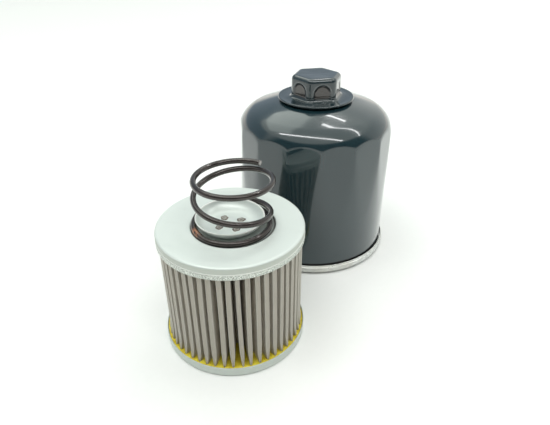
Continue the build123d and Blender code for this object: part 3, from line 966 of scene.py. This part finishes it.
def pleat_row(height, faults, low, high):
    """Outer side of the folded cloth at one height: flat fronts, near-parallel flanks, tight roots."""
    step = TURN / PLEAT_COUNT
    rise = (height - low) / (high - low)
    middle = sin(pi * rise)
    pinch = 0.36 + 0.64 * soft_step(height - low, -3.0, PINCH_HEIGHT) ** 0.8
    pinch *= 0.93 + 0.07 * soft_step(high - height, 0, 5)
    splay = FOOT_SPLAY * (1 - soft_step(height - low, 0, 8))
    points, tips = [], []
    for k in range(PLEAT_COUNT):
        angle = k * step + faults["place"][k] + faults["lean"][k] * (rise - 0.5)
        angle += faults["bow"][k] * middle
        half = (PLEAT_HALF + faults["width"][k]) * pinch
        crest = PLEATS["radius"] - 0.05 + faults["depth"][k] * middle**0.5 + splay
        corner = min(PLEAT_CORNER * (1 + 0.7 * (1 - pinch)), half)
        side = []
        for t in np.linspace(0, pi / 2, TIP_POINTS):
            # crease sets the tip mark that carries the painted highlight along each pleat's edges
            crease = 1 - abs(t - pi / 4) / (pi / 4)
            reach, across = crest - corner * (1 - cos(t)), half - corner * (1 - sin(t))
            side.append((reach, across, 0.5 + 0.5 * crease))
        root = min(PLEAT_ROOT_HALF, half)
        for reach in (31.0, 25.5, PLEAT_ROOT + 1.0):
            share = (reach - PLEAT_ROOT) / (crest - PLEAT_ROOT)
            side.append((reach, root + (half - root) * share, 0.0))
        side.append((PLEAT_ROOT, root + 0.12, 0.0))
        both = [(reach, -across, tip) for reach, across, tip in side[::-1]]
        for reach, across, tip in [*both, (crest + 0.03, 0.0, 0.4), *side]:
            share = min((reach - PLEAT_ROOT) / (crest - PLEAT_ROOT), 1.0)
            points.append((reach, across, angle + (k * step - angle) * (1 - share)))
            tips.append(tip)
    reach, across, angle = np.array(points).T
    cosine, sine = np.cos(angle), np.sin(angle)
    flat = np.stack([reach * cosine - across * sine, reach * sine + across * cosine], 1)
    return flat, np.array(tips)


def inward(loop, thickness):
    """The same closed loop moved inwards by the cloth's thickness."""
    tangent = np.roll(loop, -1, 0) - np.roll(loop, 1, 0)
    return loop - unit(np.stack([tangent[:, 1], -tangent[:, 0]], 1)) * thickness


def make_pleats():
    """The folded cloth as one closed band, pinched and drawn in where it meets the resin."""
    low, high = PLEATS["bottom"], PLEATS["top"]
    faults = pleat_faults()
    heights = np.concatenate(
        [np.linspace(low, low + 12, 15), np.linspace(low + 13.5, high - 5, 15), [high - 2.5, high]]
    )
    outside, inside, marks = [], [], []
    for height in heights:
        loop, tips = pleat_row(height, faults, low, high)
        level = np.full(len(loop), height)
        outside.append(np.column_stack([loop, level]))
        inside.append(np.column_stack([inward(loop, CLOTH_THICK), level]))
        marks.append(tips)
    grid = np.array(outside + inside[::-1])
    grid[:, :, 0] += ELEMENT_X
    marks = np.array(marks + [0 * m for m in marks])
    along = lengths(outside[len(outside) // 2][:, :2], True)
    across = np.concatenate([heights, heights[::-1] + 100, [heights[0] + 200]])
    cloth = skin("pleated_cloth", grid, along, across, True, True, {"tip": marks})
    return finished(clean(cloth, 60), "element", "wire_cloth", CLOTH, "pleated_mesh")


def make_lower_adhesive():
    """Bed of resin in the lower cap, lumpy, and drawn up where it wets the skirt."""
    inner, outer = TUBE["radius"] + 0.06, BED["radius"] - 0.05
    low, top = BED["bottom"], BED["top"]
    heel = [(inner, low), (outer - 0.9, low), (outer, low + 0.9)]
    outline = np.array(heel + [(r, top) for r in np.linspace(outer, inner, 34)])

    def lumpy(radius, height, angle):
        lumps = 0.6 * ripple(*radius.shape, 1, 4) + 0.4 * ripple(*radius.shape, 3, 12)
        wet = 0.35 * soft_step(radius, outer - 1.6, outer)
        surface = height > top - 0.01
        return radius, height + np.where(surface, 0.32 * lumps + wet * 0.5 - 0.12, 0), None

    bed = lathe("lower_resin_bed", ELEMENT_X, outline, True, 500, lumpy)
    return finished(bed, "element", "sealant", RESIN, "lower_adhesive")


# ---- Coil spring

WIRE_RADIUS = 1.4
COIL_RADIUS = 18.2
COIL_END = radians(-14.1)
COIL_TURNS = 3.05
RISE_START = 0.5
RISE_FULL = 1.35
RISE_FADE = 1.8
RISE_END = 2.2
ACTIVE_PITCH = 19.5
TOP_PITCH = 3.0
COIL_SHIFT = 1.0
SHIFT_BEARING = radians(-95)
COIL_LEAN = 0.086
LEAN_BEARING = radians(-23.4)
COIL_TILT = 0.036
TILT_BEARING = radians(-120)
RUST_BEARING = radians(151)
RUST_SPREAD = 0.13


def coil_line():
    """Centre line of the coil from its flat bottom turn up to its cut top end."""
    steps = round(COIL_TURNS * 72)
    turn = np.linspace(0, COIL_TURNS, steps + 1)
    middle = (turn[1:] + turn[:-1]) / 2
    active = np.clip((middle - RISE_START) / (RISE_FULL - RISE_START), 0, 1)
    closing = np.clip((middle - RISE_FADE) / (RISE_END - RISE_FADE), 0, 1)
    pitch = ACTIVE_PITCH * active * (1 - closing) + TOP_PITCH * closing
    rise = np.concatenate([[0], np.cumsum(pitch * COIL_TURNS / steps)])
    angle = COIL_END + TURN * (COIL_TURNS - turn)
    shift, lean = COIL_SHIFT * toward(SHIFT_BEARING), COIL_LEAN * toward(LEAN_BEARING)
    x = COIL_RADIUS * np.cos(angle) + shift[0] + lean[0] * rise
    y = COIL_RADIUS * np.sin(angle) + shift[1] + lean[1] * rise
    z = COIL["bottom"] + WIRE_RADIUS + rise * (1 + COIL_TILT * np.cos(angle - TILT_BEARING))
    return np.stack([ELEMENT_X + x, y, z], 1), turn


END_CHAMFER = 0.18


def swept(name, line, radius, sides, attributes):
    """Round wire along a line, with chamfered flat ends."""
    tangent = unit(np.gradient(line, axis=0))
    side = unit(np.cross(tangent, (0, 0, 1)))
    up = np.cross(side, tangent)
    chamfer = END_CHAMFER * radius
    around = np.arange(sides) * TURN / sides
    circle = np.cos(around)[:, None], np.sin(around)[:, None]

    def ring(index, reach, push):
        centre = line[index] + tangent[index] * push
        return centre + reach * (circle[0] * side[index] + circle[1] * up[index])

    rings = [ring(0, 0, 0), ring(0, radius - chamfer, 0), ring(0, radius, chamfer)]
    rings += [ring(k, radius, 0) for k in range(1, len(line) - 1)]
    rings += [ring(-1, radius, -chamfer), ring(-1, radius - chamfer, 0), ring(-1, 0, 0)]
    grid = np.array(rings)
    marks = {}
    for key, values in attributes.items():
        marks[key] = np.repeat(np.pad(values, 2, mode="edge")[:, None], sides, 1)
    cut = np.zeros(grid.shape[:2])
    cut[:2] = cut[-2:] = 1
    marks["cut"] = cut
    along = np.arange(sides + 1) / sides * TURN * radius
    return clean(skin(name, grid, along, lengths(grid[:, 0], False), False, True, marks), 50)


def make_coil_spring():
    """Dark coil spring that stands in the cap's recess."""
    line, turn = coil_line()
    angle = np.arctan2(line[:, 1], line[:, 0] - ELEMENT_X) % TURN
    fleck = np.exp(-(((angle - RUST_BEARING) / RUST_SPREAD) ** 2)) * (turn < 0.8)
    wire = swept("coil_spring_wire", line, WIRE_RADIUS, 28, {"rust": np.clip(fleck * 1.6, 0, 1)})
    finished(wire, "element", "spring_steel", WIRE, "coil_spring")
    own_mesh(wire)


BYPASS_WIRE = 0.55
BYPASS_PITCH = 2.8


def make_bypass_spring():
    """Light coil over the bypass disc, with a closed turn at each end."""
    coil = measured("bypass_spring")
    bottom, top = coil["bottom"], coil["top"]
    radius = coil["radius"] - BYPASS_WIRE - 0.02
    height = top - bottom - 2 * BYPASS_WIRE
    closed = 2 * BYPASS_WIRE + 0.04
    turns = (height - 2 * closed) / BYPASS_PITCH + 2
    turn = np.linspace(0, turns, round(turns * 60) + 1)
    rise = closed * np.clip(turn, 0, 1) + BYPASS_PITCH * np.clip(turn - 1, 0, turns - 2)
    rise += closed * np.clip(turn - turns + 1, 0, 1)
    angle = TURN * turn
    x = ELEMENT_X + radius * np.cos(angle)
    line = np.stack([x, radius * np.sin(angle), bottom + BYPASS_WIRE + rise], 1)
    wire = swept("bypass_spring_wire", line, BYPASS_WIRE, 14, {})
    finished(wire, "element", "valve_steel", VALVE_STEEL, "bypass_spring")
    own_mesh(wire)


def make_everything():
    """Every shown piece in turn, then materials for the CAD pieces that keep their own shape."""
    make_can_shell()
    make_hex_cap()
    make_seam_ring()
    make_base_plate()
    make_gasket()
    make_upper_cap()
    make_lower_cap()
    make_cup()
    make_cup_welds()
    make_pleats()
    make_lower_adhesive()
    make_coil_spring()
    make_bypass_spring()
    for node, material in (
        ("flange_welds", VALVE_STEEL), ("base_spot_welds", WELD), ("drainback_valve", VALVE_RUBBER),
        ("centre_tube", TUBE_STEEL), ("upper_adhesive", RESIN), ("outlet_grommet", VALVE_RUBBER),
        ("bypass_disc", VALVE_STEEL), ("bypass_cage", VALVE_STEEL),
    ):
        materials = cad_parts[node].data.materials
        materials.clear()
        materials.append(material)


# ---- Floor, lights and camera


FLOOR_REACH = 12.0


def make_floor():
    corners = [(-1, -1, 0), (1, -1, 0), (1, 1, 0), (-1, 1, 0)]
    mesh = bpy.data.meshes.new("floor")
    mesh.from_pydata([Vector(corner) * FLOOR_REACH for corner in corners], [], [(0, 1, 2, 3)])
    mesh.materials.append(paper("floor_paper"))
    floor = placed("floor", mesh)


TUBES = (
    ((-0.371, 0.594), (-0.25, -0.933), 0.085),
    ((0.606, 0.151), (0.375, -1.088), 0.05),
    ((0.896, 0.362), (0.869, 0.000), 0.055),
)
CEILING = 1.6
TUBE_GLOW = 34.0
WORLD_STRENGTH = 0.86


def make_world():
    """The studio by direction: pale walls, a dark side behind the camera, a ceiling with a lit panel."""
    world = bpy.data.worlds.new("studio")
    world.use_nodes = True
    f = Nodes(world.node_tree)
    background = f.tree.nodes["Background"]
    direction = f.node("ShaderNodeTexCoord").outputs["Generated"]
    split = f.node("ShaderNodeSeparateXYZ", Vector=direction)
    rise = split.outputs["Z"]
    above = f.maths("MAXIMUM", rise, 0.05)
    across = f.maths("DIVIDE", split.outputs["X"], above)
    deep = f.maths("DIVIDE", split.outputs["Y"], above)

    def side(bearing, low, high):
        """1 towards a compass bearing, 0 away from it."""
        bearing = radians(bearing)
        dot = f.node("ShaderNodeVectorMath", {"operation": "DOT_PRODUCT"})
        f.feed(dot.inputs[0], direction)
        f.feed(dot.inputs[1], (cos(bearing), sin(bearing), 0))
        return f.spread(dot.outputs["Value"], low, high)

    def between(value, low, high, soft):
        """1 between two values, 0 outside them."""
        start = f.spread(value, low - soft, low + soft)
        return f.times(start, f.spread(value, high - soft, high + soft, 1.0, 0.0))

    colour = f.mix(f.spread(rise, 0.03, 0.14), (1.22, 1.18, 1.1), (0.9, 0.93, 0.9))
    colour = f.mix(f.spread(rise, 0.55, 0.72), colour, (1.2, 1.24, 1.17))
    behind = f.times(side(-149, 0.0, 0.35), between(rise, 0.09, 0.66, 0.05))
    colour = f.mix(behind, colour, (0.11, 0.12, 0.13))
    far_left = f.times(side(68, 0.45, 0.62), between(rise, 0.16, 0.63, 0.03))
    colour = f.mix(far_left, colour, (0.38, 0.44, 0.5))
    panel = between(across, -0.25, 1.00, 0.05)
    panel = f.times(panel, between(deep, 0.34, 0.93, 0.05))
    panel = f.times(panel, f.spread(rise, 0.3, 0.4))
    colour = f.mix(panel, colour, (2.3, 2.45, 2.3))
    f.feed(background.inputs["Color"], colour)
    f.feed(background.inputs["Strength"], WORLD_STRENGTH)
    bpy.context.scene.world = world


def make_lights():
    """The studio and its three ceiling tubes, each given by its ends and width seen from below."""
    make_world()
    for k, (start, end, width) in enumerate(TUBES):
        start, end = Vector(start) * CEILING, Vector(end) * CEILING
        middle, run = (start + end) / 2, end - start
        lamp = bpy.data.lights.new(f"tube_{k}", "AREA")
        lamp.shape = "RECTANGLE"
        lamp.size, lamp.size_y = run.length, width * CEILING
        lamp.energy = TUBE_GLOW * lamp.size * lamp.size_y
        tube = placed(f"tube_{k}", lamp)
        tube.location = (*middle, CEILING)
        tube.rotation_euler = (0, 0, atan2(run.y, run.x))


HEADING = radians(27.04)
PITCH = radians(-31.58)
ROLL = radians(-0.19)
STAND_OFF = 0.19452
STAND_BEARING = radians(-146.67)
EYE_HEIGHT = 0.18954
SENSOR = 36.0
LENS = 31.53


def make_camera():
    """Camera at the reference viewing angle, placed about the element's axis."""
    lens = bpy.data.cameras.new("camera")
    lens.sensor_width = SENSOR
    lens.lens = LENS
    lens.clip_start = 0.01
    camera = placed("camera", lens)
    camera.location = (
        ELEMENT_X * MM + STAND_OFF * cos(STAND_BEARING),
        STAND_OFF * sin(STAND_BEARING),
        EYE_HEIGHT,
    )
    look = Vector(
        (cos(HEADING) * cos(PITCH), sin(HEADING) * cos(PITCH), sin(PITCH))
    )
    turn = look.to_track_quat("-Z", "Y").to_matrix() @ Matrix.Rotation(ROLL, 3, "Z")
    camera.rotation_euler = turn.to_euler()
    bpy.context.scene.camera = camera


make_everything()
make_floor()
make_lights()
make_camera()
bpy.context.scene.view_settings.view_transform = "Standard"
